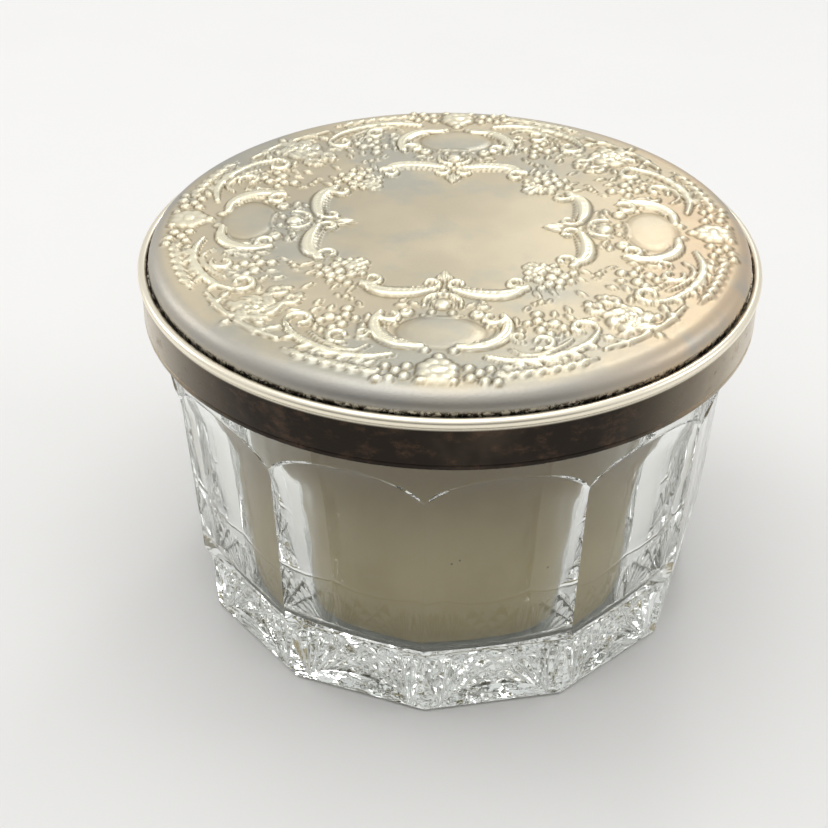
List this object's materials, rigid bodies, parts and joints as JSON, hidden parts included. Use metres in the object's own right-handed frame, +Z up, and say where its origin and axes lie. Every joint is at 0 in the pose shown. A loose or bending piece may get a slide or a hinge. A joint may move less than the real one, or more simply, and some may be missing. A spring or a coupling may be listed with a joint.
{
  "type": "powder jar",
  "caption": "Twelve-sided pressed glass powder jar with a plastic powder cup and a lift-off embossed silver-plated lid.",
  "frame": {"origin": "middle of the underside of the glass, on the surface the jar stands on", "axes": "+Z up along the jar's axis; one ridge between two glass panels points along -Y"},
  "size_m": [0.1142, 0.1142, 0.0756],
  "materials": {
    "clear_glass": "clear pressed glass, fire-polished panels and cut-look base band",
    "cream_plastic": "opaque cream moulded plastic",
    "silver_plate": "worn silver plate over brass, champagne tarnish",
    "liner_plastic": "off-white moulded plastic",
    "pad_board": "grey-brown card"
  },
  "bodies": {
    "jar": {"glass_bowl": "clear_glass", "powder_cup": "cream_plastic"},
    "lid": {"lid_plate": "silver_plate", "lid_band": "silver_plate", "lid_liner": "liner_plastic", "filler_pad": "pad_board"}
  },
  "joints": [
    {"name": "lid_lift", "type": "slide", "parent": "jar", "child": "lid", "axis": [0, 0, 1], "range_m": [0, 0.08]}
  ]
}
